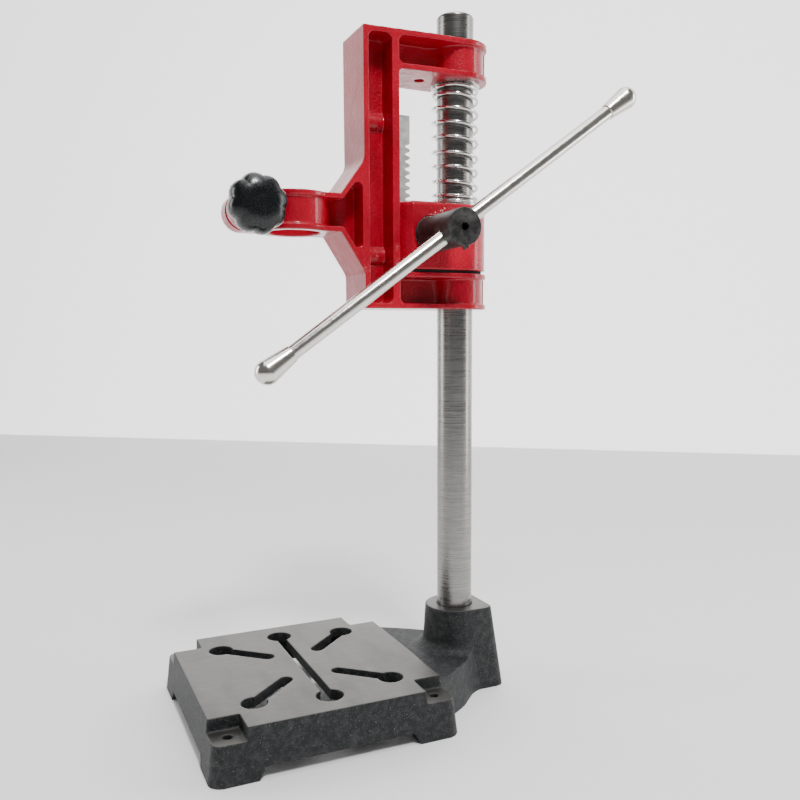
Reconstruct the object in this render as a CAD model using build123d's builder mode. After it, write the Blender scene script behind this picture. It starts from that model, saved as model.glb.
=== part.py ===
from build123d import *
import os
from math import atan2, cos, degrees, pi, radians, sin, sqrt, tan

os.makedirs("parts", exist_ok=True)

# ---------------------------------------------------------------- driving dimensions (mm)
# Column axis is X = Y = 0, the table lies towards -Y, the handle is on the +X side, Z = 0 is the floor.

# fits (radial) and how far a cutting shape runs past a face
OVERCUT = 1.0
PRESS_FIT = 0.01
BUSH_FIT = 0.02
LOOSE_FIT = 0.35

# column and its boss
COLUMN_R = 16.0
COLUMN_TOP = 600.0
COLUMN_FOOT = 8.0
COLUMN_ROUND = 2.5
BOSS_TOP = 75.0
BOSS_R_TOP = 27.2
BOSS_R_BOTTOM = 32.0
BOSS_BACK_TOP = 27.0
BOSS_BACK_BOTTOM = 37.0
BOSS_CORNER = 8.0
BOSS_SCREW_Z = (26.0, 54.0)
SEAT_CLEARANCE = 0.05

# table
THROAT = 150.0
TABLE_TOP = 41.0
TABLE_HALF_X = 98.5
TABLE_HALF_Y = 97.5
TABLE_DRAFT = 5.0
TABLE_CORNER = 6.0
TABLE_PLATE = 9.0
NOTCH = 24.5
PAD_TOP = 30.5
PAD_HOLE_R = 3.5
WALL = 8.0
CORNER_POST = 35.0
ARCH_HEIGHT = 9.0
ARCH_HALF = 66.0
ARCH_SLOPE = 60.0
WEB_TOP = 35.5
WEB_FOOT = ((79.0, -50.0), (69.0, -37.5), (53.0, -15.5), (40.0, -3.0), (34.5, 5.0), (32.0, 16.0))
WEB_CROWN = ((72.0, -50.0), (65.0, -39.0), (52.5, -21.0), (39.5, -6.5), (32.5, 0.0), (28.0, 10.0))
WEB_HOLLOW = ((56.0, -52.0), (38.0, -36.0))
ROOT_BLEND = 10.0
BLEND_ROOT = 4.0
WEB_ROOF = 8.0
SLOT_WIDTH = 8.5
SLOT_EYE_R = 11.0
SLOT_EYE_X = 72.0
KEYHOLE_EYE = (60.0, 58.0)
KEYHOLE_END = (27.7, 23.1)
KEYHOLE_WIDTH = 11.5
KEYHOLE_EYE_R = 10.5

# carriage casting
HALF_WIDTH = 27.0
STRUT_HALF = 23.8
TAPER_START = -30.0
NECK_BLEND = 15.0
COLLAR_BLEND = 12.0
NECK_REACH = 45.0
ARM = 31.0
LOWER_ARM = 347.5
UPPER_ARM = 543.0
STRUT_FRONT = -96.0
STRUT_BACK = -65.0
RIM = 4.5
STRUT_BACK_RIM = 6.5
WEB_HALF = 5.0
SLEEVE_RIM_R = 27.5
SLEEVE_NECK_R = 24.5
COLLAR_ARM = 409.0
COLLAR_RIM_R = 30.5
COLLAR_NECK_R = 28.5
COLLAR_BORE_R = 21.5
GUSSET_TOP = 468.0
GUSSET_BOTTOM = 377.0
GUSSET_ELBOW = -116.5
CLAMP_Y = -190.5
LUG_HALF = 18.0
SPLIT = 3.5
WINDOW_CORNER = 4.0
GUSSET_CORNER = 14.0
POCKET_CORNER = 5.0
POCKET_END = 32.5
GUSSET_POCKET_CORNER = 4.0
POCKET_ELBOW = -115.0
NECK_INSET = 1.0
POCKET_NOSE = -175.0
GUSSET_RIB = 2.0
GUSSET_POCKET_DROP = 11.0
RACK_BOSS_R = 9.0
CLAMP_REACH = 60.0
STOP_ROD_HOLE_R = 4.25
STOP_ROD_HOLE_Y = -35.0

# gearbox housing
HOUSING_HALF = 26.5
HOUSING_BOTTOM = 381.0
HOUSING_TOP = 438.0
HOUSING_FRONT = -63.0
HOUSING_CHAMFER = 9.0
HOUSING_TOP_ROUND = 4.0
HOUSING_BOTTOM_ROUND = 1.0
HOUSING_SCREW_Z = (397.0, 423.0)
SLIDE_CLEARANCE = 0.07

# rack and pinion
MODULE = 2.0
TEETH = 13
PRESSURE_ANGLE = 20.0
PITCH_R = MODULE * TEETH / 2
PITCH = pi * MODULE
PINION_Y = -36.0
PINION_Z = 410.0
PINION_TIP_R = 15.0
PINION_ROOT_R = 11.2
GEAR_HALF = 7.0
BACKLASH = 0.3
RACK_PITCH_Y = PINION_Y - PITCH_R
RACK_TIP_Y = RACK_PITCH_Y + 1.5
RACK_ROOT_Y = RACK_PITCH_Y - 2.5
RACK_HALF = 7.0
RACK_TOP = 511.0
RACK_BOTTOM = 382.8
RACK_STEP = 1.5
RACK_GAPS = range(-1, 13)
RACK_SCREW_Z = (392.0, 502.5)
RACK_SCREW_R = 2.95
RACK_SCREW_GRIP = 16.0
RACK_SCREW_HEAD_R = 5.0
RACK_SCREW_HEAD = 5.0
RACK_SCREW_SINK = 8.0
SLOT_GAP = 0.4
SLOT_BACK = -45.5
PINION_TIP_GAP = 0.6
SHAFT_R = 8.0
SHAFT_END = -31.5
RING_START = -28.3
RING_WIDTH = 1.2
RING_R = 10.0
SHAFT_WASHER_R = 12.0
END_PLAY = 0.1
RING_GROOVE_R = 6.2
KEY_START = 30.0
KEY_END = 46.0
KEY_WIDTH = 5.0
FLANK_STEPS = 5
FAR_JOURNAL_R = 7.0
BUSH_WALL_NEAR = 15.5
BUSH_WALL_FAR = 11.0
JOURNAL_CLEARANCE = 0.05

# handle
HUB_R = 15.0
HUB_START = 26.9
HUB_END = 85.0
HUB_BORE_END = 52.0
HUB_CHAMFER = 0.6
HUB_EYE_R = 3.3
HUB_EYE_DEPTH = 9.0
BAR_X = 68.0
BAR_R = 6.0
BAR_SHIFT = 6.0
BAR_ANGLE = 35.4
BAR_NECK = 176.0
BAR_TIP = 209.0
GRIP_MAX_R = 9.8
GRIP_NECK_R = 6.8
GRIP_DOME_DROP = 2.2
GRIP_SOCKET = 10.0
SET_SCREW_REACH = 18.3
SET_SCREW_R = 2.95
SET_SCREW_KEY_R = 1.7

# return spring
WIRE_R = 1.5
SPRING_R = 19.5
SPRING_TURNS = 8.25
WASHER = 2.0
WASHER_R = 21.5
BUFFER_TOP = HOUSING_BOTTOM
BUFFER_R = 23.5
BUFFER_FRONT = -58.0

# grub screws
SCREW_R = 3.95
SCREW_CLEARANCE = 0.05
SCREW_LENGTH = 10.0
HEX_KEY_R = 2.3
HEX_KEY_DEPTH = 4.0
SCREW_TIP_GAP = 0.1

# clamp knob
STUD_R = 4.0
KNOB_START = 19.8
KNOB_FLANGE = 31.0
KNOB_END = 54.0
KNOB_R = 23.3
KNOB_HUB_R = 10.0
KNOB_LOBES = 8
KNOB_LOBE_R = 6.8
KNOB_CHAMFER = 1.5
KNOB_PHASE = 13.0
NUT_ACROSS = 13.0
NUT_THICK = 6.5
NUT_GAP = 0.2
STUD_END = 3.0
INSERT_WALL = 2.5
INSERT_COVER = 8.0
CLAMP_WASHER = 1.6
CLAMP_WASHER_WALL = 5.0


def bore_z(r, low, high, x=0.0, y=0.0):
    """A vertical hole."""
    with Locations((x, y, (low + high) / 2)):
        Cylinder(r, high - low, mode=Mode.SUBTRACT)


def bore_x(r, low, high, y, z):
    """A hole along X."""
    with Locations(Plane.YZ.offset((low + high) / 2)):
        with Locations((y, z)):
            Cylinder(r, high - low, mode=Mode.SUBTRACT)


def finish(block, name):
    """Name a piece and write it."""
    block.part.label = name
    export_step(block.part, f"parts/{name}.step")


# ---------------------------------------------------------------- base casting
def boss_outline(z, half, back):
    """The boss in plan: round towards the table, flat at the back."""
    with BuildSketch(Plane.XY.offset(z)) as outline:
        with BuildLine():
            ThreePointArc((half, 0), (0, -half), (-half, 0))
            Polyline((-half, 0), (-half, back), (half, back), (half, 0))
        make_face()
        fillet(outline.vertices().group_by(Axis.Y)[-1], BOSS_CORNER)
    return outline.sketch


def web_outline(z, side):
    """The rear web in plan: its side runs from the table to the boss, with the other side mirrored."""
    with BuildSketch(Plane.XY.offset(z)) as outline:
        with BuildLine():
            Spline(*side)
            Spline(*[(-x, y) for x, y in side])
            Line(side[-1], (-side[-1][0], side[-1][1]))
            Polyline(side[0], (side[0][0], -THROAT / 2), (-side[0][0], -THROAT / 2), (-side[0][0], side[0][1]))
        make_face()
    return outline.sketch


# blend where the boss meets the web
blend_r = BOSS_R_BOTTOM - (BOSS_R_BOTTOM - BOSS_R_TOP) * (WEB_TOP + ROOT_BLEND) / BOSS_TOP
blend_out = blend_r + ROOT_BLEND
with BuildPart() as boss_blend:
    with BuildSketch(Plane.XZ):
        with BuildLine():
            Polyline(
                (blend_r, WEB_TOP + ROOT_BLEND), (blend_r - BLEND_ROOT, WEB_TOP + ROOT_BLEND),
                (blend_r - BLEND_ROOT, WEB_TOP - OVERCUT), (blend_out, WEB_TOP - OVERCUT), (blend_out, WEB_TOP)
            )
            RadiusArc((blend_out, WEB_TOP), (blend_r, WEB_TOP + ROOT_BLEND), ROOT_BLEND)
        make_face()
    revolve(axis=Axis.Z)
    extrude(web_outline(WEB_TOP - OVERCUT, WEB_CROWN), amount=ROOT_BLEND + 2 * OVERCUT, mode=Mode.INTERSECT)
boss_root = boss_blend.part

with BuildPart() as base_casting:
    with BuildSketch(Plane.XY):
        with Locations((0, -THROAT)):
            RectangleRounded(
                2 * (TABLE_HALF_X + TABLE_DRAFT), 2 * (TABLE_HALF_Y + TABLE_DRAFT), TABLE_CORNER + TABLE_DRAFT
            )
    extrude(amount=TABLE_TOP, taper=degrees(atan2(TABLE_DRAFT, TABLE_TOP)))
    # corner pads
    with Locations((0, -THROAT, (PAD_TOP + TABLE_TOP) / 2)):
        with GridLocations(2 * TABLE_HALF_X, 2 * TABLE_HALF_Y, 2, 2):
            Box(2 * NOTCH, 2 * NOTCH, TABLE_TOP - PAD_TOP, mode=Mode.SUBTRACT)
    # rear web and boss
    web_foot = web_outline(0, WEB_FOOT)
    web_roof = web_outline(WEB_TOP, WEB_CROWN)
    loft(sections=[web_foot.face(), web_roof.face()])
    boss_foot = boss_outline(0, BOSS_R_BOTTOM, BOSS_BACK_BOTTOM)
    boss_crown = boss_outline(BOSS_TOP, BOSS_R_TOP, BOSS_BACK_TOP)
    loft(sections=[boss_foot.face(), boss_crown.face()])
    add(boss_root)
    # hollow under the table, leaving a solid post at each corner
    with BuildSketch(Plane.XY):
        with Locations((0, -THROAT)):
            Rectangle(2 * (TABLE_HALF_X - WALL), 2 * (TABLE_HALF_Y - WALL))
            with GridLocations(2 * TABLE_HALF_X, 2 * TABLE_HALF_Y, 2, 2):
                Rectangle(2 * CORNER_POST, 2 * CORNER_POST, mode=Mode.SUBTRACT)
    extrude(amount=TABLE_TOP - TABLE_PLATE, mode=Mode.SUBTRACT)
    # hollow under the web
    with BuildSketch(Plane.XY):
        with BuildLine():
            Polyline(
                (WEB_HOLLOW[0][0], -THROAT / 2), WEB_HOLLOW[0], WEB_HOLLOW[1],
                (-WEB_HOLLOW[1][0], WEB_HOLLOW[1][1]), (-WEB_HOLLOW[0][0], WEB_HOLLOW[0][1]),
                (-WEB_HOLLOW[0][0], -THROAT / 2), close=True
            )
        make_face()
    extrude(amount=WEB_TOP - WEB_ROOF, mode=Mode.SUBTRACT)
    # arches between the feet
    with BuildSketch(Plane.YZ):
        with Locations((-THROAT, 0)):
            Trapezoid(2 * ARCH_HALF, ARCH_HEIGHT, ARCH_SLOPE, align=(Align.CENTER, Align.MIN))
    extrude(amount=2 * TABLE_HALF_X, both=True, mode=Mode.SUBTRACT)
    with BuildSketch(Plane.XZ.offset(THROAT)):
        Trapezoid(2 * ARCH_HALF, ARCH_HEIGHT, ARCH_SLOPE, align=(Align.CENTER, Align.MIN))
    extrude(amount=2 * TABLE_HALF_Y, mode=Mode.SUBTRACT)
    # slots through the table
    with BuildSketch(Plane.XY.offset(TABLE_TOP)):
        with Locations((0, -THROAT)):
            Rectangle(2 * SLOT_EYE_X, SLOT_WIDTH)
        with Locations((SLOT_EYE_X, -THROAT), (-SLOT_EYE_X, -THROAT)):
            Circle(SLOT_EYE_R)
        for x_side in (-1, 1):
            for y_side in (-1, 1):
                eye = Vector(KEYHOLE_EYE[0] * x_side, -THROAT + KEYHOLE_EYE[1] * y_side)
                end = Vector(KEYHOLE_END[0] * x_side, -THROAT + KEYHOLE_END[1] * y_side)
                run = end - eye
                with Locations(Location((eye + end) / 2, (0, 0, degrees(atan2(run.Y, run.X))))):
                    SlotCenterToCenter(run.length, KEYHOLE_WIDTH)
                with Locations(eye):
                    Circle(KEYHOLE_EYE_R)
    extrude(amount=-(TABLE_PLATE + OVERCUT), mode=Mode.SUBTRACT)
    # bolt holes through the corner pads
    with Locations((0, -THROAT, PAD_TOP / 2)):
        with GridLocations(2 * TABLE_HALF_X - NOTCH, 2 * TABLE_HALF_Y - NOTCH, 2, 2):
            Cylinder(PAD_HOLE_R, 2 * TABLE_TOP, mode=Mode.SUBTRACT)
    # seat of the column and its locking screws
    bore_z(COLUMN_R + SEAT_CLEARANCE, COLUMN_FOOT, BOSS_TOP + OVERCUT)
    for z in BOSS_SCREW_Z:
        with Locations(Plane.XZ.offset(-BOSS_BACK_BOTTOM / 2)):
            with Locations((0, z)):
                Cylinder(SCREW_R + SCREW_CLEARANCE, BOSS_BACK_BOTTOM, mode=Mode.SUBTRACT)
finish(base_casting, "base_casting")

with BuildPart() as column:
    with Locations((0, 0, (COLUMN_FOOT + COLUMN_TOP) / 2)):
        Cylinder(COLUMN_R, COLUMN_TOP - COLUMN_FOOT)
    fillet(column.edges().sort_by(Axis.Z)[-1], COLUMN_ROUND)
finish(column, "column")

with BuildPart() as boss_set_screws:
    for z in BOSS_SCREW_Z:
        with Locations(Plane.XZ.offset(-COLUMN_R - SCREW_LENGTH / 2 - SCREW_TIP_GAP)):
            with Locations((0, z)):
                Cylinder(SCREW_R, SCREW_LENGTH)
        with BuildSketch(Plane.XZ.offset(-COLUMN_R - SCREW_LENGTH - SCREW_TIP_GAP)):
            with Locations((0, z)):
                RegularPolygon(HEX_KEY_R, 6)
        extrude(amount=HEX_KEY_DEPTH, mode=Mode.SUBTRACT)
finish(boss_set_screws, "boss_set_screws")

# ---------------------------------------------------------------- carriage
arm_mid = COLLAR_ARM + ARM / 2
carriage_top = UPPER_ARM + ARM

with BuildPart() as carriage_casting:
    # side view: two arms, the strut, the gusset and the collar arm with its round nose
    with BuildSketch(Plane.YZ) as side:
        with BuildLine():
            Polyline(
                (CLAMP_Y, COLLAR_ARM + ARM), (GUSSET_ELBOW, COLLAR_ARM + ARM), (STRUT_FRONT, GUSSET_TOP),
                (STRUT_FRONT, carriage_top), (SLEEVE_RIM_R, carriage_top), (SLEEVE_RIM_R, UPPER_ARM),
                (STRUT_BACK, UPPER_ARM), (STRUT_BACK, LOWER_ARM + ARM), (SLEEVE_RIM_R, LOWER_ARM + ARM),
                (SLEEVE_RIM_R, LOWER_ARM), (STRUT_FRONT, LOWER_ARM), (STRUT_FRONT, GUSSET_BOTTOM),
                (GUSSET_ELBOW, COLLAR_ARM), (CLAMP_Y, COLLAR_ARM)
            )
            ThreePointArc((CLAMP_Y, COLLAR_ARM), (CLAMP_Y - ARM / 2, arm_mid), (CLAMP_Y, COLLAR_ARM + ARM))
        make_face()
        corners = side.vertices()
        fillet(corners.filter_by(lambda v: abs(v.X - STRUT_BACK) < 0.1), WINDOW_CORNER)
        fillet(side.vertices().filter_by(lambda v: abs(v.X - STRUT_FRONT) < 0.1 and v.Y < GUSSET_BOTTOM + OVERCUT
                                         and v.Y > GUSSET_BOTTOM - OVERCUT), GUSSET_CORNER)
        fillet(side.vertices().filter_by(lambda v: abs(v.Y - GUSSET_TOP) < 0.1), GUSSET_CORNER)
    extrude(amount=COLLAR_RIM_R, both=True)
    # plan view: straight sides, round sleeves and collar, narrow lugs
    with BuildSketch(Plane.XY.offset(LOWER_ARM - OVERCUT)) as plan:
        Circle(SLEEVE_RIM_R)
        with BuildLine():
            Polyline(
                (HALF_WIDTH, 0), (HALF_WIDTH, TAPER_START), (STRUT_HALF, STRUT_FRONT), (STRUT_HALF, -THROAT),
                (-STRUT_HALF, -THROAT), (-STRUT_HALF, STRUT_FRONT), (-HALF_WIDTH, TAPER_START), (-HALF_WIDTH, 0),
                close=True
            )
        make_face()
        with Locations((0, -THROAT)):
            Circle(COLLAR_RIM_R)
        with Locations((0, (CLAMP_Y - ARM - THROAT) / 2)):
            Rectangle(2 * LUG_HALF, THROAT - CLAMP_Y)
    extrude(amount=carriage_top - LOWER_ARM + 2 * OVERCUT, mode=Mode.INTERSECT)
    # pockets in both flanks, leaving a web in the middle
    with BuildSketch(Plane.YZ.offset(WEB_HALF)) as pockets:
        for low in (LOWER_ARM, UPPER_ARM):
            with Locations(((STRUT_BACK + POCKET_END) / 2, low + ARM / 2)):
                RectangleRounded(POCKET_END - STRUT_BACK, ARM - 2 * RIM, POCKET_CORNER)
        strut_pocket_width = STRUT_BACK - STRUT_FRONT - RIM - STRUT_BACK_RIM
        with Locations((STRUT_FRONT + RIM + strut_pocket_width / 2, (LOWER_ARM + carriage_top) / 2)):
            RectangleRounded(strut_pocket_width, carriage_top - LOWER_ARM - 2 * RIM, POCKET_CORNER)
        with BuildLine():
            Polyline(
                (POCKET_NOSE, arm_mid + ARM / 2 - RIM), (POCKET_ELBOW, arm_mid + ARM / 2 - RIM),
                (STRUT_FRONT - GUSSET_RIB, GUSSET_TOP - GUSSET_POCKET_DROP),
                (STRUT_FRONT - GUSSET_RIB, GUSSET_BOTTOM + GUSSET_POCKET_DROP),
                (POCKET_ELBOW, arm_mid - ARM / 2 + RIM), (POCKET_NOSE, arm_mid - ARM / 2 + RIM), close=True
            )
        make_face()
        rib_corners = pockets.vertices().filter_by(lambda v: abs(v.X - STRUT_FRONT + GUSSET_RIB) < 0.1)
        fillet(rib_corners, GUSSET_POCKET_CORNER)
    extrude(amount=COLLAR_RIM_R, mode=Mode.SUBTRACT)
    mirror_pockets = mirror(pockets.sketch, about=Plane.YZ, mode=Mode.PRIVATE)
    extrude(mirror_pockets, amount=COLLAR_RIM_R, dir=(-1, 0, 0), mode=Mode.SUBTRACT)
    # sleeves on the column and the drill collar, a little slimmer than their rims, blended into the web
    for low in (LOWER_ARM, UPPER_ARM):
        with BuildSketch(Plane.XY.offset(low + NECK_INSET)) as neck:
            Circle(SLEEVE_NECK_R)
            with Locations((0, -NECK_REACH / 2)):
                Rectangle(2 * WEB_HALF, NECK_REACH)
            fillet(neck.vertices().filter_by(lambda v: -SLEEVE_NECK_R < v.Y < -1), NECK_BLEND)
        extrude(amount=ARM - 2 * NECK_INSET)
    with BuildSketch(Plane.XY.offset(COLLAR_ARM + NECK_INSET)) as collar_neck:
        with Locations((0, -THROAT)):
            Circle(COLLAR_NECK_R)
        with Locations((0, NECK_REACH / 2 - THROAT)):
            Rectangle(2 * WEB_HALF, NECK_REACH)
        joins = collar_neck.vertices().filter_by(lambda v: 1 - THROAT < v.Y < COLLAR_NECK_R - THROAT)
        fillet(joins, COLLAR_BLEND)
    extrude(amount=ARM - 2 * NECK_INSET)
    # bosses that take the rack screws, cast across the strut's pocket
    for z in RACK_SCREW_Z:
        with Locations(Plane.XZ.offset(-(STRUT_FRONT + STRUT_BACK) / 2)):
            with Locations((0, z)):
                Cylinder(RACK_BOSS_R, STRUT_BACK - STRUT_FRONT - 2 * NECK_INSET)
    # bores
    bore_z(COLUMN_R + SLIDE_CLEARANCE, LOWER_ARM - OVERCUT, carriage_top + OVERCUT)
    bore_z(COLLAR_BORE_R, LOWER_ARM - OVERCUT, carriage_top + OVERCUT, 0, -THROAT)
    bore_z(STOP_ROD_HOLE_R, UPPER_ARM - OVERCUT, UPPER_ARM + RIM + OVERCUT, 0, STOP_ROD_HOLE_Y)
    # split of the collar, clamp screw hole and the nut's pocket
    with Locations((0, -THROAT - COLLAR_RIM_R, arm_mid)):
        Box(SPLIT, 2 * (CLAMP_REACH - COLLAR_RIM_R), ARM + 2 * OVERCUT, mode=Mode.SUBTRACT)
    bore_x(STUD_R + LOOSE_FIT, -LUG_HALF - OVERCUT, LUG_HALF + OVERCUT, CLAMP_Y, arm_mid)
    with BuildSketch(Plane.YZ.offset(-LUG_HALF - OVERCUT)):
        with Locations((CLAMP_Y, arm_mid)):
            RegularPolygon(NUT_ACROSS / 2 + NUT_GAP, 6, major_radius=False)
    extrude(amount=NUT_THICK + OVERCUT, mode=Mode.SUBTRACT)
    # tapped holes for the rack screws
    for z in RACK_SCREW_Z:
        with Locations(Plane.XZ.offset(-STRUT_BACK + RACK_SCREW_GRIP / 2)):
            with Locations((0, z)):
                Cylinder(RACK_SCREW_R + SCREW_CLEARANCE, RACK_SCREW_GRIP + OVERCUT / 2, mode=Mode.SUBTRACT)
finish(carriage_casting, "carriage_casting")

with BuildPart() as feed_rack:
    with BuildSketch(Plane.YZ):
        slope = tan(radians(PRESSURE_ANGLE))
        tip_half = PITCH / 4 + BACKLASH / 4 + slope * (RACK_TIP_Y - RACK_PITCH_Y)
        root_half = PITCH / 4 + BACKLASH / 4 - slope * (RACK_PITCH_Y - RACK_ROOT_Y)
        teeth_line = []
        for gap in RACK_GAPS:
            z = PINION_Z + gap * PITCH
            teeth_line += [
                (RACK_TIP_Y, z - tip_half), (RACK_ROOT_Y, z - root_half),
                (RACK_ROOT_Y, z + root_half), (RACK_TIP_Y, z + tip_half)
            ]
        blank_z = PINION_Z + (RACK_GAPS[-1] + 0.5) * PITCH
        low_z = PINION_Z + (RACK_GAPS[0] - 0.5) * PITCH
        with BuildLine():
            Polyline(
                (STRUT_BACK, RACK_BOTTOM), (RACK_TIP_Y - RACK_STEP, RACK_BOTTOM), (RACK_TIP_Y - RACK_STEP, low_z),
                *teeth_line, (RACK_TIP_Y, blank_z), (RACK_TIP_Y, RACK_TOP),
                (STRUT_BACK, RACK_TOP), close=True
            )
        make_face()
    extrude(amount=RACK_HALF, both=True)
    for z in RACK_SCREW_Z:
        with Locations(Plane.XZ.offset(-(STRUT_BACK + RACK_TIP_Y) / 2)):
            with Locations((0, z)):
                Cylinder(RACK_SCREW_R + LOOSE_FIT, RACK_TIP_Y - STRUT_BACK + OVERCUT, mode=Mode.SUBTRACT)
        with Locations(Plane.XZ.offset(-RACK_TIP_Y + (RACK_SCREW_SINK - OVERCUT) / 2)):
            with Locations((0, z)):
                Cylinder(RACK_SCREW_HEAD_R + LOOSE_FIT, RACK_SCREW_SINK + OVERCUT, mode=Mode.SUBTRACT)
finish(feed_rack, "feed_rack")

head_seat_y = RACK_TIP_Y - RACK_SCREW_SINK
with BuildPart() as rack_screws:
    for z in RACK_SCREW_Z:
        shank = head_seat_y - STRUT_BACK + RACK_SCREW_GRIP - OVERCUT
        with Locations(Plane.XZ.offset(-head_seat_y + shank / 2)):
            with Locations((0, z)):
                Cylinder(RACK_SCREW_R, shank)
        with Locations(Plane.XZ.offset(-head_seat_y - RACK_SCREW_HEAD / 2)):
            with Locations((0, z)):
                Cylinder(RACK_SCREW_HEAD_R, RACK_SCREW_HEAD)
        with BuildSketch(Plane.XZ.offset(-head_seat_y - RACK_SCREW_HEAD)):
            with Locations((0, z)):
                RegularPolygon(HEX_KEY_R, 6)
        extrude(amount=RACK_SCREW_HEAD / 2, mode=Mode.SUBTRACT)
finish(rack_screws, "rack_screws")

# ---------------------------------------------------------------- gearbox
housing_height = HOUSING_TOP - HOUSING_BOTTOM
slot_half = RACK_HALF + SLOT_GAP
with BuildPart() as gearbox_housing:
    with BuildSketch(Plane.XY.offset(HOUSING_BOTTOM)) as housing_plan:
        Circle(HOUSING_HALF)
        with Locations((0, HOUSING_FRONT / 2)):
            Rectangle(2 * HOUSING_HALF, -HOUSING_FRONT)
        chamfer(housing_plan.vertices().group_by(Axis.Y)[0], HOUSING_CHAMFER)
    extrude(amount=housing_height)
    fillet(gearbox_housing.faces().sort_by(Axis.Z)[-1].edges(), HOUSING_TOP_ROUND)
    fillet(gearbox_housing.faces().sort_by(Axis.Z)[0].edges(), HOUSING_BOTTOM_ROUND)
    bore_z(COLUMN_R + SLIDE_CLEARANCE, HOUSING_BOTTOM - OVERCUT, HOUSING_TOP + OVERCUT)
    # slot for the rack and the chamber for the pinion
    with Locations((0, HOUSING_FRONT, PINION_Z)):
        Box(2 * slot_half, 2 * (SLOT_BACK - HOUSING_FRONT), 2 * housing_height, mode=Mode.SUBTRACT)
    bore_x(PINION_TIP_R + PINION_TIP_GAP, -slot_half, slot_half, PINION_Y, PINION_Z)
    # seats of the two bushes
    bore_x(BUSH_WALL_NEAR + BUSH_FIT, slot_half - OVERCUT, HOUSING_HALF + OVERCUT, PINION_Y, PINION_Z)
    bore_x(BUSH_WALL_FAR + BUSH_FIT, -HOUSING_HALF - OVERCUT, -slot_half + OVERCUT, PINION_Y, PINION_Z)
    # locking screws on the back
    for z in HOUSING_SCREW_Z:
        with Locations(Plane.XZ.offset(-HOUSING_HALF / 2)):
            with Locations((0, z)):
                Cylinder(SCREW_R + SCREW_CLEARANCE, HOUSING_HALF + 2 * OVERCUT, mode=Mode.SUBTRACT)
finish(gearbox_housing, "gearbox_housing")

with BuildPart() as housing_lock_screws:
    for z in HOUSING_SCREW_Z:
        with Locations(Plane.XZ.offset(-COLUMN_R - LOOSE_FIT - SCREW_LENGTH / 2)):
            with Locations((0, z)):
                Cylinder(SCREW_R, SCREW_LENGTH)
        with BuildSketch(Plane.XZ.offset(-COLUMN_R - LOOSE_FIT - SCREW_LENGTH)):
            with Locations((0, z)):
                RegularPolygon(HEX_KEY_R, 6)
        extrude(amount=HEX_KEY_DEPTH, mode=Mode.SUBTRACT)
finish(housing_lock_screws, "housing_lock_screws")


def sleeve_x(r_out, r_in, low, high, y, z):
    """A ring whose axis runs along X."""
    with BuildSketch(Plane.YZ.offset(low)) as ring:
        with Locations((y, z)):
            Circle(r_out)
            Circle(r_in, mode=Mode.SUBTRACT)
    extrude(ring.sketch, amount=high - low)


def sleeve_z(r_out, r_in, low, high, x=0.0, y=0.0):
    """A ring whose axis is vertical."""
    with BuildSketch(Plane.XY.offset(low)) as ring:
        with Locations((x, y)):
            Circle(r_out)
            Circle(r_in, mode=Mode.SUBTRACT)
    extrude(ring.sketch, amount=high - low)


def rod_x(r, low, high, y, z):
    """A round bar along X."""
    with Locations(Plane.YZ.offset((low + high) / 2)):
        with Locations((y, z)):
            Cylinder(r, high - low)


with BuildPart() as hub_side_bush:
    sleeve_x(BUSH_WALL_NEAR, SHAFT_R + JOURNAL_CLEARANCE, slot_half, HOUSING_HALF, PINION_Y, PINION_Z)
finish(hub_side_bush, "hub_side_bush")

with BuildPart() as far_side_bush:
    sleeve_x(BUSH_WALL_FAR, FAR_JOURNAL_R + JOURNAL_CLEARANCE, -HOUSING_HALF, -slot_half, PINION_Y, PINION_Z)
finish(far_side_bush, "far_side_bush")


def gear_flank(side, tooth_angle):
    """Points up one involute flank of a tooth, from root to tip; side is -1 or 1."""
    base_r = PITCH_R * cos(radians(PRESSURE_ANGLE))
    involute = tan(radians(PRESSURE_ANGLE)) - radians(PRESSURE_ANGLE)
    half = (PITCH / 2 - BACKLASH / 2) / 2 / PITCH_R + involute
    points = [(PINION_ROOT_R, tooth_angle + side * half)]
    for step in range(FLANK_STEPS + 1):
        r = base_r + (PINION_TIP_R - base_r) * step / FLANK_STEPS
        roll = sqrt((r / base_r) ** 2 - 1)
        points.append((r, tooth_angle + side * (half - roll + atan2(roll, 1))))
    return points


with BuildPart() as pinion_shaft:
    with BuildSketch(Plane.YZ.offset(-GEAR_HALF)):
        gear_points = []
        for tooth in range(TEETH):
            centre = pi + 2 * pi * tooth / TEETH
            for r, angle in gear_flank(-1, centre) + gear_flank(1, centre)[::-1]:
                gear_points.append((PINION_Y + r * cos(angle), PINION_Z + r * sin(angle)))
        with BuildLine():
            Polyline(*gear_points, close=True)
        make_face()
    extrude(amount=2 * GEAR_HALF)
    rod_x(SHAFT_R, 0, HUB_BORE_END - OVERCUT, PINION_Y, PINION_Z)
    rod_x(FAR_JOURNAL_R, SHAFT_END, 0, PINION_Y, PINION_Z)
    # groove for the retaining ring
    groove = Plane.YZ.offset(RING_START)
    with BuildSketch(groove) as ring_groove:
        with Locations((PINION_Y, PINION_Z)):
            Circle(FAR_JOURNAL_R + OVERCUT)
            Circle(RING_GROOVE_R, mode=Mode.SUBTRACT)
    extrude(amount=-RING_WIDTH, mode=Mode.SUBTRACT)
    # keyway for the hub
    with Locations(((KEY_START + KEY_END) / 2, PINION_Y, PINION_Z + SHAFT_R)):
        Box(KEY_END - KEY_START, KEY_WIDTH, KEY_WIDTH, mode=Mode.SUBTRACT)
finish(pinion_shaft, "pinion_shaft")

with BuildPart() as shaft_washer:
    washer_bore_r = FAR_JOURNAL_R + LOOSE_FIT / 2
    sleeve_x(SHAFT_WASHER_R, washer_bore_r, RING_START + END_PLAY, -HOUSING_HALF - END_PLAY, PINION_Y, PINION_Z)
finish(shaft_washer, "shaft_washer")

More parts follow.
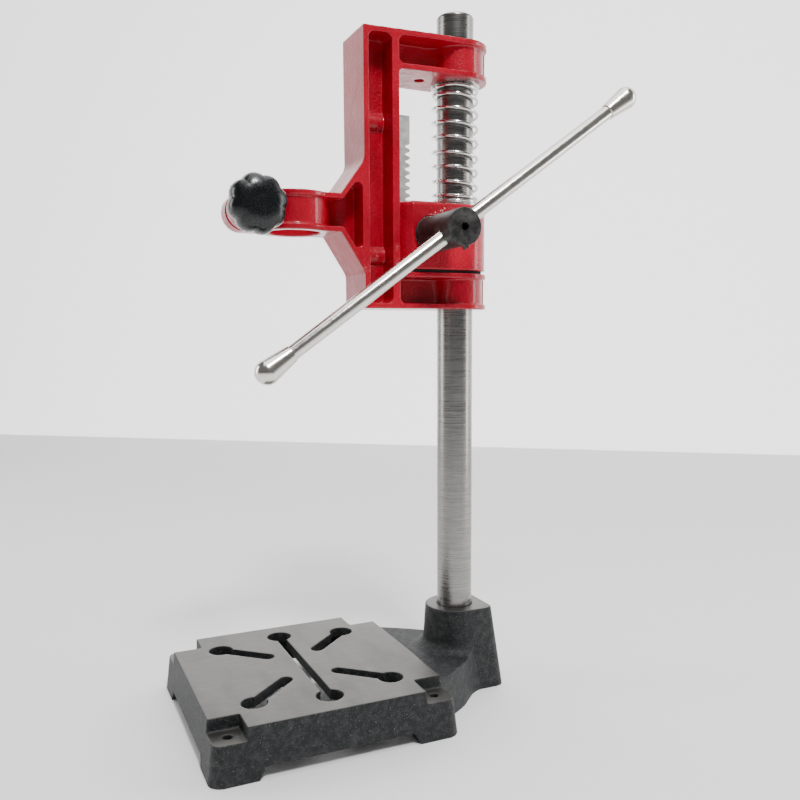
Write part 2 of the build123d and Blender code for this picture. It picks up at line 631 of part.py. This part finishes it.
with BuildPart() as shaft_retaining_ring:
    with BuildSketch(Plane.YZ.offset(RING_START)):
        with Locations((PINION_Y, PINION_Z)):
            Circle(RING_R)
            Circle(RING_GROOVE_R, mode=Mode.SUBTRACT)
        with Locations((PINION_Y, PINION_Z - FAR_JOURNAL_R)):
            Rectangle(6, 2 * FAR_JOURNAL_R, mode=Mode.SUBTRACT)
    extrude(amount=-RING_WIDTH + END_PLAY)
finish(shaft_retaining_ring, "shaft_retaining_ring")

# ---------------------------------------------------------------- handle
bar_direction = Vector(0, cos(radians(BAR_ANGLE)), sin(radians(BAR_ANGLE)))
bar_centre = Vector(BAR_X, PINION_Y, PINION_Z)
bar_plane = Plane(origin=bar_centre, x_dir=(1, 0, 0), z_dir=bar_direction)
screw_plane = Plane(origin=bar_centre, x_dir=(1, 0, 0), z_dir=bar_direction.cross(Vector(1, 0, 0)))

with BuildPart() as handle_hub:
    rod_x(HUB_R, HUB_START, HUB_END, PINION_Y, PINION_Z)
    chamfer(handle_hub.faces().sort_by(Axis.X)[-1].edges(), HUB_CHAMFER)
    bore_x(SHAFT_R + PRESS_FIT, HUB_START - OVERCUT, HUB_BORE_END, PINION_Y, PINION_Z)
    bore_x(HUB_EYE_R, HUB_END - HUB_EYE_DEPTH, HUB_END + OVERCUT, PINION_Y, PINION_Z)
    with Locations(bar_plane):
        Cylinder(BAR_R + SEAT_CLEARANCE, 3 * HUB_R, mode=Mode.SUBTRACT)
    with Locations(screw_plane.offset(HUB_R)):
        Cylinder(SET_SCREW_R + SCREW_CLEARANCE, 2 * HUB_R, mode=Mode.SUBTRACT)
    with Locations(((KEY_START + KEY_END) / 2, PINION_Y, PINION_Z + SHAFT_R)):
        Box(KEY_END - KEY_START, KEY_WIDTH, KEY_WIDTH, mode=Mode.SUBTRACT)
finish(handle_hub, "handle_hub")

with BuildPart() as hub_key:
    with Locations(((KEY_START + KEY_END) / 2, PINION_Y, PINION_Z + SHAFT_R)):
        Box(KEY_END - KEY_START, KEY_WIDTH, KEY_WIDTH)
finish(hub_key, "hub_key")

with BuildPart() as handle_bar:
    with Locations(bar_plane.offset(BAR_SHIFT)):
        Cylinder(BAR_R, 2 * (BAR_NECK + GRIP_SOCKET))
finish(handle_bar, "handle_bar")

with BuildPart() as handle_set_screw:
    screw_low = BAR_R + SEAT_CLEARANCE
    with Locations(screw_plane.offset((screw_low + SET_SCREW_REACH) / 2)):
        Cylinder(SET_SCREW_R, SET_SCREW_REACH - screw_low)
    with BuildSketch(screw_plane.offset(SET_SCREW_REACH)):
        RegularPolygon(SET_SCREW_KEY_R, 6)
    extrude(amount=-HEX_KEY_DEPTH, mode=Mode.SUBTRACT)
finish(handle_set_screw, "handle_set_screw")


# two teardrop end knobs; each profile is turned about the bar
bar_middle = bar_centre + bar_direction * BAR_SHIFT
for grip_name, grip_side in (("handle_grip_upper", 1), ("handle_grip_lower", -1)):
    along = Plane(origin=bar_middle, x_dir=(1, 0, 0), z_dir=bar_direction * grip_side)
    profile_plane = Plane(origin=bar_middle, x_dir=(1, 0, 0), z_dir=along.x_dir.cross(along.z_dir))
    dome_centre = BAR_TIP - GRIP_MAX_R
    dome_foot = (sqrt(GRIP_MAX_R ** 2 - GRIP_DOME_DROP ** 2), dome_centre - GRIP_DOME_DROP)
    dome_side = (GRIP_MAX_R * cos(pi / 4), dome_centre + GRIP_MAX_R * sin(pi / 4))
    with BuildPart() as grip:
        with BuildSketch(profile_plane) as profile:
            with BuildLine():
                Polyline((0, BAR_TIP), (0, BAR_NECK), (GRIP_NECK_R, BAR_NECK), dome_foot)
                ThreePointArc(dome_foot, dome_side, (0, BAR_TIP))
            make_face()
        revolve(profile.sketch, axis=Axis(bar_middle, along.z_dir))
        with Locations(along.offset(BAR_NECK + GRIP_SOCKET / 2)):
            Cylinder(BAR_R + PRESS_FIT, GRIP_SOCKET, mode=Mode.SUBTRACT)
    finish(grip, grip_name)

# ---------------------------------------------------------------- return spring and rings on the column
with BuildPart() as spring_seat:
    sleeve_z(WASHER_R, COLUMN_R + SLIDE_CLEARANCE, HOUSING_TOP, HOUSING_TOP + WASHER)
finish(spring_seat, "spring_seat")

with BuildPart() as spring_top_washer:
    sleeve_z(WASHER_R, COLUMN_R + LOOSE_FIT, UPPER_ARM - WASHER, UPPER_ARM)
finish(spring_top_washer, "spring_top_washer")

with BuildPart() as buffer_ring:
    with BuildSketch(Plane.XY.offset(LOWER_ARM + ARM)):
        Circle(BUFFER_R)
        with Locations((0, BUFFER_FRONT / 2)):
            Rectangle(2 * BUFFER_R, -BUFFER_FRONT)
        Circle(COLUMN_R + 2 * LOOSE_FIT, mode=Mode.SUBTRACT)
    extrude(amount=BUFFER_TOP - LOWER_ARM - ARM)
finish(buffer_ring, "buffer_ring")

spring_low = HOUSING_TOP + WASHER + WIRE_R
spring_length = UPPER_ARM - WASHER - WIRE_R - spring_low
with BuildPart() as return_spring:
    with BuildLine():
        coil = Helix(
            spring_length / SPRING_TURNS, spring_length, SPRING_R, center=(0, 0, spring_low), lefthand=True
        )
    with BuildSketch(Plane(origin=coil @ 0, z_dir=coil % 0)):
        Circle(WIRE_R)
    sweep(is_frenet=True)
finish(return_spring, "return_spring")

# ---------------------------------------------------------------- collar clamp
with BuildPart() as clamp_stud:
    rod_x(STUD_R, -LUG_HALF - STUD_END, KNOB_END - INSERT_COVER, CLAMP_Y, arm_mid)
finish(clamp_stud, "clamp_stud")

with BuildPart() as clamp_nut:
    with BuildSketch(Plane.YZ.offset(-LUG_HALF)):
        with Locations((CLAMP_Y, arm_mid)):
            RegularPolygon(NUT_ACROSS / 2, 6, major_radius=False)
            Circle(STUD_R + JOURNAL_CLEARANCE, mode=Mode.SUBTRACT)
    extrude(amount=NUT_THICK)
finish(clamp_nut, "clamp_nut")

with BuildPart() as clamp_washer:
    washer_r = STUD_R + CLAMP_WASHER_WALL
    sleeve_x(washer_r, STUD_R + LOOSE_FIT, LUG_HALF, LUG_HALF + CLAMP_WASHER, CLAMP_Y, arm_mid)
finish(clamp_washer, "clamp_washer")

with BuildPart() as knob_insert:
    insert_r = STUD_R + INSERT_WALL
    sleeve_x(insert_r, STUD_R + PRESS_FIT, KNOB_START + OVERCUT, KNOB_END - INSERT_COVER, CLAMP_Y, arm_mid)
finish(knob_insert, "knob_insert")

with BuildPart() as clamp_knob:
    rod_x(KNOB_HUB_R, KNOB_START, KNOB_FLANGE + OVERCUT, CLAMP_Y, arm_mid)
    with BuildSketch(Plane.YZ.offset(KNOB_FLANGE)):
        with Locations((CLAMP_Y, arm_mid)):
            Circle(KNOB_R - KNOB_LOBE_R / 2)
            with PolarLocations(KNOB_R - KNOB_LOBE_R, KNOB_LOBES, start_angle=KNOB_PHASE):
                Circle(KNOB_LOBE_R)
    extrude(amount=KNOB_END - KNOB_FLANGE)
    chamfer(clamp_knob.faces().sort_by(Axis.X)[-1].edges(), KNOB_CHAMFER)
    bore_x(insert_r + PRESS_FIT, KNOB_START - OVERCUT, KNOB_END - INSERT_COVER, CLAMP_Y, arm_mid)
finish(clamp_knob, "clamp_knob")
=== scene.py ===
from math import cos, pi, radians, sin

import bpy
from mathutils import Matrix, Vector


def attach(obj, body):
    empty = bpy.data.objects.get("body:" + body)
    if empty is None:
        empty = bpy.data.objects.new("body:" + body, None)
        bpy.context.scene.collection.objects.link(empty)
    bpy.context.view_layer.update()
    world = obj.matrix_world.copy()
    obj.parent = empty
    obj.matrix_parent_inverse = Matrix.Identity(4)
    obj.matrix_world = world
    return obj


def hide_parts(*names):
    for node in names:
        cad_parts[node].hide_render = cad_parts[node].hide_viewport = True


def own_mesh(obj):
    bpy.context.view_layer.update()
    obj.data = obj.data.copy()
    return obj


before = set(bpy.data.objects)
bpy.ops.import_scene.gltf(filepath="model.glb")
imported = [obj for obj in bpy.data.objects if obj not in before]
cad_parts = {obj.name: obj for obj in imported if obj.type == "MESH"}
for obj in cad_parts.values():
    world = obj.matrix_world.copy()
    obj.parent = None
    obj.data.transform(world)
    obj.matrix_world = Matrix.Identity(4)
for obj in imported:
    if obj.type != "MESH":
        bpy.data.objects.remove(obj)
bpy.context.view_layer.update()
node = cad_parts


# ---------------------------------------------------------------- materials
class Finish:
    """A procedural material; textures are placed in the part's own space."""

    def __init__(
        self, name, color, roughness, metallic=0.0, coat=0.0, coat_roughness=0.05, specular=0.5
    ):
        self.material = bpy.data.materials.new(name)
        self.material.use_nodes = True
        self.tree = self.material.node_tree
        self.shader = next(n for n in self.tree.nodes if n.type == "BSDF_PRINCIPLED")
        self.set("Base Color", (*color, 1.0))
        self.set("Roughness", roughness)
        self.set("Metallic", metallic)
        self.set("Coat Weight", coat)
        self.set("Coat Roughness", coat_roughness)
        self.set("Specular IOR Level", specular)
        self.place = self.new("ShaderNodeTexCoord").outputs["Object"]

    def new(self, kind):
        return self.tree.nodes.new(kind)

    def link(self, out, socket):
        self.tree.links.new(out, socket)

    def set(self, socket, value):
        self.shader.inputs[socket].default_value = value

    def feed(self, socket, out):
        self.link(out, self.shader.inputs[socket])

    def stretched(self, scale):
        """The object space scaled per axis, for directional grain."""
        mapping = self.new("ShaderNodeMapping")
        mapping.inputs["Scale"].default_value = scale
        self.link(self.place, mapping.inputs["Vector"])
        return mapping.outputs["Vector"]

    def noise(self, scale, detail=2.0, place=None, roughness=0.5):
        texture = self.new("ShaderNodeTexNoise")
        texture.inputs["Scale"].default_value = scale
        texture.inputs["Detail"].default_value = detail
        texture.inputs["Roughness"].default_value = roughness
        self.link(place or self.place, texture.inputs["Vector"])
        return texture.outputs["Fac"]

    def cells(self, scale, place=None):
        texture = self.new("ShaderNodeTexVoronoi")
        texture.inputs["Scale"].default_value = scale
        self.link(place or self.place, texture.inputs["Vector"])
        return texture.outputs["Distance"]

    def ramp(self, value, low, high, to_low=0.0, to_high=1.0):
        """The value remapped and clamped."""
        remap = self.new("ShaderNodeMapRange")
        self.link(value, remap.inputs["Value"])
        remap.inputs["From Min"].default_value = low
        remap.inputs["From Max"].default_value = high
        remap.inputs["To Min"].default_value = to_low
        remap.inputs["To Max"].default_value = to_high
        return remap.outputs["Result"]

    def math(self, operation, a, b):
        m = self.new("ShaderNodeMath")
        m.operation = operation
        for value, socket in ((a, m.inputs[0]), (b, m.inputs[1])):
            if isinstance(value, (int, float)):
                socket.default_value = value
            else:
                self.link(value, socket)
        return m.outputs[0]

    def mix(self, factor, a, b):
        """Colours a and b mixed; each is a tuple or an output."""
        m = self.new("ShaderNodeMix")
        m.data_type = "RGBA"
        if isinstance(factor, (int, float)):
            m.inputs[0].default_value = factor
        else:
            self.link(factor, m.inputs[0])
        for value, socket in ((a, m.inputs[6]), (b, m.inputs[7])):
            if isinstance(value, tuple):
                socket.default_value = (*value, 1.0)
            else:
                self.link(value, socket)
        return m.outputs[2]

    def bump(self, height, strength, distance, under=None):
        """A bump chained on top of another one."""
        b = self.new("ShaderNodeBump")
        b.inputs["Strength"].default_value = strength
        b.inputs["Distance"].default_value = distance
        self.link(height, b.inputs["Height"])
        if under:
            self.link(under, b.inputs["Normal"])
        return b.outputs["Normal"]

    def height(self):
        """Height above the floor."""
        split = self.new("ShaderNodeSeparateXYZ")
        self.link(self.place, split.inputs["Vector"])
        return split.outputs["Z"]

    def facing_up(self):
        """How far the surface faces up."""
        split = self.new("ShaderNodeSeparateXYZ")
        self.link(self.new("ShaderNodeNewGeometry").outputs["True Normal"], split.inputs["Vector"])
        return split.outputs["Z"]


def enamel():
    """Glossy red enamel over a casting: orange peel, a pebbly skin below it and a few pits."""
    f = Finish(
        "red_enamel", (0.40, 0.0, 0.02), 0.38, coat=0.55, coat_roughness=0.08, specular=0.18
    )
    tone = f.noise(22.0, 3.0)
    f.feed("Base Color", f.mix(f.ramp(tone, 0.3, 0.7), (0.30, 0.0, 0.010), (0.44, 0.0, 0.018)))
    pebbles = f.bump(f.noise(500.0, 3.0), 0.6, 0.0010)
    peel = f.bump(f.noise(120.0, 1.0), 0.35, 0.0012, pebbles)
    pits = f.ramp(f.cells(95.0), 0.02, 0.10, 0.0, 1.0)
    skin = f.bump(pits, 0.25, 0.0005, peel)
    f.feed("Normal", skin)
    f.feed("Coat Normal", f.bump(pits, 0.2, 0.0004, f.bump(f.noise(130.0, 1.5), 0.30, 0.0010)))
    f.feed("Roughness", f.ramp(f.noise(60.0, 2.0), 0.3, 0.7, 0.30, 0.45))
    return f.material


# heights of the table top, the corner pads and the boss top
GROUND_LEVELS = (0.0410, 0.0305, 0.0750)


def cast_base():
    """Charcoal paint on rough cast iron, with the table, the pads and the boss ground bare."""
    f = Finish("cast_base", (0.012, 0.012, 0.013), 0.6, specular=0.35)
    z = f.height()
    flat = f.ramp(f.facing_up(), 0.90, 0.97)
    bare = None
    for level in GROUND_LEVELS:
        away = f.math("ABSOLUTE", f.math("SUBTRACT", z, level), 0.0)
        near = f.ramp(away, 0.0005, 0.0009, 1.0, 0.0)
        bare = near if bare is None else f.math("MAXIMUM", bare, near)
    bare = f.math("MULTIPLY", bare, flat)
    wear = f.ramp(f.noise(1100.0, 2.0), 0.66, 0.72)
    paint = f.mix(wear, (0.008, 0.009, 0.010), (0.20, 0.20, 0.20))
    cloud = f.ramp(f.noise(160.0, 5.0, roughness=0.7), 0.45, 0.75)
    paint = f.mix(cloud, paint, (0.040, 0.042, 0.043))
    lines = f.noise(60.0, 4.0, f.stretched((40.0, 1.0, 1.0)), 0.7)
    smear = f.noise(14.0, 3.0, f.stretched((1.0, 3.0, 1.0)))
    ground = f.mix(f.ramp(lines, 0.35, 0.65), (0.088, 0.085, 0.080), (0.142, 0.137, 0.129))
    ground = f.mix(f.ramp(smear, 0.45, 0.75, 0.0, 0.6), ground, (0.064, 0.060, 0.054))
    f.feed("Base Color", f.mix(bare, paint, ground))
    f.feed("Metallic", f.math("MULTIPLY", bare, 0.85))
    f.feed("Roughness", f.ramp(bare, 0.0, 1.0, 0.58, 0.40))
    rough = f.math("MULTIPLY", f.noise(380.0, 4.0, roughness=0.65), f.math("SUBTRACT", 1.0, bare))
    grain = f.math("MULTIPLY", f.math("MULTIPLY", lines, bare), 0.08)
    f.feed("Normal", f.bump(f.math("ADD", rough, grain), 0.55, 0.0012))
    return f.material


def turned(name, color, roughness):
    """Ground steel with fine marks running round the vertical axis."""
    f = Finish(name, color, roughness, metallic=1.0)
    marks = f.noise(55.0, 4.0, f.stretched((0.6, 0.6, 22.0)), 0.65)
    stains = f.noise(16.0, 3.0)
    dark = tuple(0.72 * c for c in color)
    f.feed("Base Color", f.mix(f.ramp(marks, 0.38, 0.62), dark, color))
    f.feed("Roughness", f.math("ADD", f.ramp(marks, 0.3, 0.7, roughness, roughness + 0.10),
                               f.ramp(stains, 0.4, 0.8, 0.0, 0.06)))
    f.feed("Normal", f.bump(marks, 0.10, 0.0002))
    return f.material


def plain_metal(name, color, roughness, grain=0.05):
    """A machined or polished metal."""
    f = Finish(name, color, roughness, metallic=1.0)
    cloud = f.noise(240.0, 3.0)
    f.feed("Roughness", f.ramp(cloud, 0.3, 0.7, roughness * 0.85, roughness * 1.2))
    f.feed("Normal", f.bump(cloud, grain, 0.0002))
    return f.material


def black_oxide():
    """Satin black steel with a worn bloom."""
    f = Finish("black_oxide", (0.022, 0.022, 0.024), 0.42, metallic=0.6)
    cloud = f.noise(90.0, 5.0, roughness=0.7)
    worn = f.ramp(cloud, 0.42, 0.75)
    f.feed("Base Color", f.mix(worn, (0.024, 0.023, 0.024), (0.105, 0.098, 0.092)))
    f.feed("Roughness", f.ramp(cloud, 0.3, 0.7, 0.36, 0.52))
    f.feed("Normal", f.bump(f.noise(700.0, 2.0), 0.12, 0.0002))
    return f.material


def black_plastic():
    """Moulded black plastic with slight waves and small scuffs."""
    f = Finish(
        "black_knob", (0.002, 0.003, 0.004), 0.30, coat=0.35, coat_roughness=0.18, specular=0.3
    )
    scuffs = f.noise(800.0, 3.0)
    f.feed("Roughness", f.ramp(scuffs, 0.40, 0.70, 0.24, 0.50))
    waves = f.bump(f.noise(110.0, 2.0), 0.35, 0.0012)
    f.feed("Normal", f.bump(scuffs, 0.10, 0.0003, waves))
    return f.material


def rubber():
    """Matt black rubber."""
    f = Finish("rubber", (0.02, 0.02, 0.02), 0.85, specular=0.3)
    f.feed("Normal", f.bump(f.noise(900.0, 2.0), 0.2, 0.0003))
    return f.material


RED = enamel()
CAST = cast_base()
COLUMN = turned("ground_column", (0.30, 0.293, 0.280), 0.22)
BAR = plain_metal("bright_bar", (0.74, 0.71, 0.655), 0.20)
MACHINED = plain_metal("machined_steel", (0.55, 0.545, 0.53), 0.28, 0.10)
RACK = plain_metal("rack_steel", (0.75, 0.75, 0.73), 0.45, 0.10)
CHROME = plain_metal("spring_steel", (0.72, 0.715, 0.70), 0.13)
BRONZE = plain_metal("bronze", (0.52, 0.34, 0.16), 0.30)
OXIDE = black_oxide()
KNOB = black_plastic()
RUBBER = rubber()

NODE_FINISH = {
    "column": COLUMN, "feed_rack": RACK, "buffer_ring": RUBBER,
    "boss_set_screws": OXIDE, "rack_screws": OXIDE, "housing_lock_screws": OXIDE,
    "handle_hub": OXIDE, "handle_set_screw": OXIDE, "shaft_retaining_ring": OXIDE,
    "spring_top_washer": MACHINED, "spring_seat": MACHINED, "shaft_washer": MACHINED,
    "clamp_washer": MACHINED, "clamp_nut": MACHINED, "clamp_stud": MACHINED,
    "hub_side_bush": MACHINED, "pinion_shaft": MACHINED, "hub_key": MACHINED,
    "far_side_bush": BRONZE, "knob_insert": BRONZE,
    "handle_bar": BAR, "handle_grip_upper": BAR, "handle_grip_lower": BAR,
}
SMOOTH_ANGLE = radians(35)


def paint(obj, material):
    """One material and smooth shading with crisp edges kept."""
    obj.data.materials.clear()
    obj.data.materials.append(material)
    with bpy.context.temp_override(active_object=obj, selected_editable_objects=[obj], object=obj):
        bpy.ops.object.shade_smooth_by_angle(angle=SMOOTH_ANGLE)


for node_name, finish in NODE_FINISH.items():
    paint(node[node_name], finish)


# ---------------------------------------------------------------- castings with soft edges
SMOOTH_FACTOR = 0.5


def casting(name, body, material, voxel, passes):
    """A copy of a CAD casting whose edges are rounded as cast."""
    source = node[name]
    obj = bpy.data.objects.new(name + "_cast", source.data.copy())
    bpy.context.scene.collection.objects.link(obj)
    obj.data.materials.clear()
    obj.data.materials.append(material)
    remesh = obj.modifiers.new("remesh", "REMESH")
    remesh.mode = "VOXEL"
    remesh.voxel_size = voxel
    remesh.use_smooth_shade = True
    smooth = obj.modifiers.new("smooth", "SMOOTH")
    smooth.factor = SMOOTH_FACTOR
    smooth.iterations = passes
    bpy.context.view_layer.update()
    evaluated = obj.evaluated_get(bpy.context.evaluated_depsgraph_get())
    made = bpy.data.meshes.new_from_object(evaluated)
    obj.modifiers.clear()
    obj.data = made
    made.materials.clear()
    made.materials.append(material)
    made.polygons.foreach_set("use_smooth", [True] * len(made.polygons))
    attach(obj, body)
    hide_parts(name)


casting("base_casting", "stand", CAST, 0.0008, 2)
casting("carriage_casting", "carriage", RED, 0.0007, 4)
casting("gearbox_housing", "gearbox", RED, 0.0006, 4)


# ---------------------------------------------------------------- return spring with closed ends
def add_mesh(name, vertices, faces, material):
    """A new object in the scene from points and faces."""
    mesh = bpy.data.meshes.new(name)
    mesh.from_pydata(vertices, [], faces)
    mesh.update()
    obj = bpy.data.objects.new(name, mesh)
    bpy.context.scene.collection.objects.link(obj)
    paint(obj, material)
    return obj


def ring_faces(rings, around):
    """Quads between neighbouring rings of points, and a cap on the first and the last ring."""
    faces = []
    for i in range(rings - 1):
        for k in range(around):
            a = i * around + k
            b = i * around + (k + 1) % around
            faces.append((a, b, b + around, a + around))
    last = (rings - 1) * around
    faces.append(tuple(range(around))[::-1])
    faces.append(tuple(last + k for k in range(around)))
    return faces


# metres; turns are counted up from the lowest coil
WIRE_R = 0.0015
WIRE_SIDES = 14
COIL_R = 0.0195
NEAR_SIDE = radians(-24.3)
SPRING_LOW = 0.4400
SPRING_HIGH = 0.5410
COIL_HEIGHTS = (0.4415, 0.4456, 0.4574, 0.4705, 0.4822, 0.4956, 0.5077, 0.5198, 0.5314, 0.5388)


def coil_height(turn):
    """Height of the wire's centre; whole turns are those on the handle side."""
    turn = min(max(turn, 0.0), len(COIL_HEIGHTS) - 1.0001)
    low = int(turn)
    height = COIL_HEIGHTS[low] + (COIL_HEIGHTS[low + 1] - COIL_HEIGHTS[low]) * (turn - low)
    return min(max(height, SPRING_LOW + WIRE_R), SPRING_HIGH - WIRE_R)


def tube(name, path, radius, sides, material):
    """A round wire along a list of points, with flat ends."""
    vertices = []
    count = len(path)
    for i, point in enumerate(path):
        ahead = path[min(i + 1, count - 1)] - path[max(i - 1, 0)]
        ahead.normalize()
        out = Vector((point.x, point.y, 0)).normalized()
        side = ahead.cross(out).normalized()
        out = side.cross(ahead)
        for k in range(sides):
            angle = 2 * pi * k / sides
            vertices.append(point + radius * (cos(angle) * out + sin(angle) * side))
    return add_mesh(name, vertices, ring_faces(count, sides), material)


STEPS_PER_TURN = 60
FIRST_TURN = -0.4
LAST_TURN = 9.4
spring_path = []
for step in range(int(FIRST_TURN * STEPS_PER_TURN), int(LAST_TURN * STEPS_PER_TURN) + 1):
    turn = step / STEPS_PER_TURN
    angle = NEAR_SIDE - 2 * pi * turn
    spring_path.append(Vector((COIL_R * cos(angle), COIL_R * sin(angle), coil_height(turn))))
spring = tube("return_spring_wire", spring_path, WIRE_R, WIRE_SIDES, CHROME)
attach(spring, "gearbox")
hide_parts("return_spring")
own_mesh(spring)


# ---------------------------------------------------------------- star knob
KNOB_AXIS = Vector((0, -0.1905, 0.4245))
KNOB_LOBES = 8
KNOB_PHASE = radians(13)
KNOB_AROUND = 256
KNOB_STEPS = 3
# along X and radius of the valleys and of the lobes, from the hub's back to the middle of the dome
KNOB_PROFILE = (
    (0.0198, 0.0084, 0.0084), (0.0198, 0.0094, 0.0094), (0.0206, 0.0100, 0.0100),
    (0.0300, 0.0104, 0.0104), (0.0312, 0.0112, 0.0112), (0.0316, 0.0162, 0.0175),
    (0.0322, 0.0193, 0.0213), (0.0335, 0.0205, 0.0226), (0.0370, 0.0211, 0.0232),
    (0.0400, 0.0213, 0.0233), (0.0430, 0.0211, 0.0231), (0.0460, 0.0206, 0.0224),
    (0.0485, 0.0196, 0.0211), (0.0505, 0.0181, 0.0191), (0.0520, 0.0160, 0.0165),
    (0.0531, 0.0136, 0.0138), (0.0538, 0.0105, 0.0106), (0.0540, 0.0074, 0.0074),
    (0.0538, 0.0050, 0.0050), (0.0534, 0.0025, 0.0025),
)


def star_knob():
    """Rings of points along the profile, between the valley and the lobe radius."""
    rings = []
    for a, b in zip(KNOB_PROFILE, KNOB_PROFILE[1:]):
        for part in range(KNOB_STEPS):
            rings.append(tuple(p + (q - p) * part / KNOB_STEPS for p, q in zip(a, b)))
    rings.append(KNOB_PROFILE[-1])
    vertices = []
    for x, valley, lobe in rings:
        for k in range(KNOB_AROUND):
            angle = 2 * pi * k / KNOB_AROUND
            wave = 0.5 + 0.5 * cos(KNOB_LOBES * (angle - KNOB_PHASE))
            radius = valley + (lobe - valley) * wave ** 0.5
            vertices.append(KNOB_AXIS + Vector((x, radius * cos(angle), radius * sin(angle))))
    return add_mesh("clamp_knob_star", vertices, ring_faces(len(rings), KNOB_AROUND), KNOB)


knob = star_knob()
knob_smooth = knob.modifiers.new("smooth", "SMOOTH")
knob_smooth.factor = SMOOTH_FACTOR
knob_smooth.iterations = 4
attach(knob, "clamp_screw")
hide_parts("clamp_knob")


# ---------------------------------------------------------------- floor, lights, camera
def area_light(name, place, target, size, power):
    """A rectangular soft light that faces its target."""
    data = bpy.data.lights.new(name, "AREA")
    data.shape = "RECTANGLE"
    data.size, data.size_y = size
    data.energy = power
    light = bpy.data.objects.new(name, data)
    light.location = place
    light.rotation_euler = (Vector(target) - Vector(place)).to_track_quat("-Z", "Y").to_euler()
    bpy.context.scene.collection.objects.link(light)


floor_finish = Finish("pale_floor", (0.88, 0.88, 0.88), 0.7, specular=0.2)
floor = add_mesh(
    "floor", [(-6, -6, 0), (6, -6, 0), (6, 6, 0), (-6, 6, 0)], [(0, 1, 2, 3)], floor_finish.material
)
backdrop_finish = Finish("backdrop", (0.9, 0.9, 0.9), 1.0, specular=0.0)
backdrop_finish.set("Emission Color", (1.0, 1.0, 1.0, 1.0))
backdrop_finish.set("Emission Strength", 1.5)
backdrop_corners = [(-4.5, -3.0, -0.5), (1.5, 4.6, -0.5), (1.5, 4.6, 4.5), (-4.5, -3.0, 4.5)]
backdrop = add_mesh("backdrop", backdrop_corners, [(0, 1, 2, 3)], backdrop_finish.material)

area_light("key", (1.0, -0.15, 1.8), (0, -0.05, 0.4), (0.3, 0.3), 30)
area_light("top", (0.1, -0.1, 2.0), (0, -0.05, 0.3), (1.4, 1.4), 16)
area_light("side", (0.7, 1.4, 0.6), (0, 0, 0.35), (0.4, 1.2), 10)
area_light("front", (-0.9, -1.6, 0.7), (0, -0.05, 0.35), (0.7, 1.2), 14)

world = bpy.data.worlds.new("studio")
bpy.context.scene.world = world
world.use_nodes = True
background = next(n for n in world.node_tree.nodes if n.type == "BACKGROUND")
background.inputs["Color"].default_value = (1.0, 1.0, 1.0, 1.0)
background.inputs["Strength"].default_value = 0.16

# camera place in metres and angles in degrees
CAMERA_PLACE = (0.6731, -0.3589, 0.3234)
CAMERA_HEADING = 65.7
CAMERA_DOWN = 6.41
CAMERA_ROLL = -0.33
camera_data = bpy.data.cameras.new("camera")
camera_data.sensor_width = 36.0
camera_data.lens = 37.44
camera_data.shift_y = 0.0383
camera_data.clip_start = 0.01
camera = bpy.data.objects.new("camera", camera_data)
camera.matrix_world = (
    Matrix.Translation(CAMERA_PLACE)
    @ Matrix.Rotation(radians(CAMERA_HEADING), 4, "Z")
    @ Matrix.Rotation(radians(90 - CAMERA_DOWN), 4, "X")
    @ Matrix.Rotation(radians(CAMERA_ROLL), 4, "Z")
)
bpy.context.scene.collection.objects.link(camera)
bpy.context.scene.camera = camera
